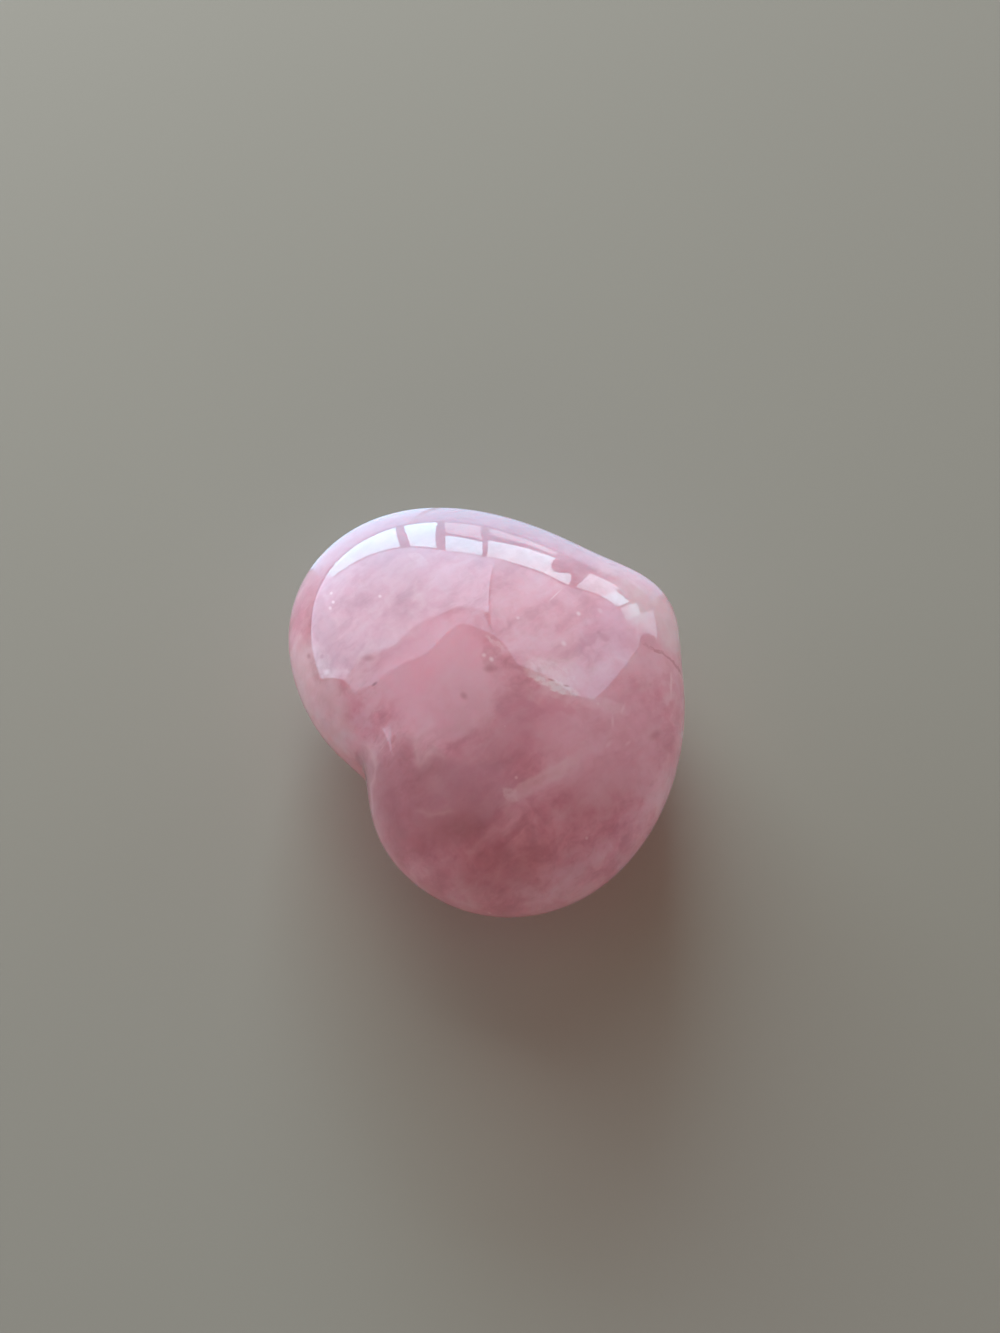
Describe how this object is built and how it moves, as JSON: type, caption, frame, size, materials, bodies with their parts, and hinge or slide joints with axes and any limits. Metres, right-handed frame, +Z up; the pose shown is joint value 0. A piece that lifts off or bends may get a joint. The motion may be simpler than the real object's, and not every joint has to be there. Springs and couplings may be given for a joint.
{
  "type": "rose quartz heart",
  "caption": "Polished translucent pink stone in the shape of a puffy heart, resting on a small flat spot.",
  "frame": {"origin": "on the surface that the stone rests on, under the middle of its box", "axes": "+X across the two lobes, +Y from the point towards the cleft, +Z up through the thickness"},
  "size_m": [0.0496, 0.0416, 0.0218],
  "materials": {
    "rose_quartz": "polished"
  },
  "bodies": {
    "root": {"heart": "rose_quartz"}
  },
  "joints": []
}
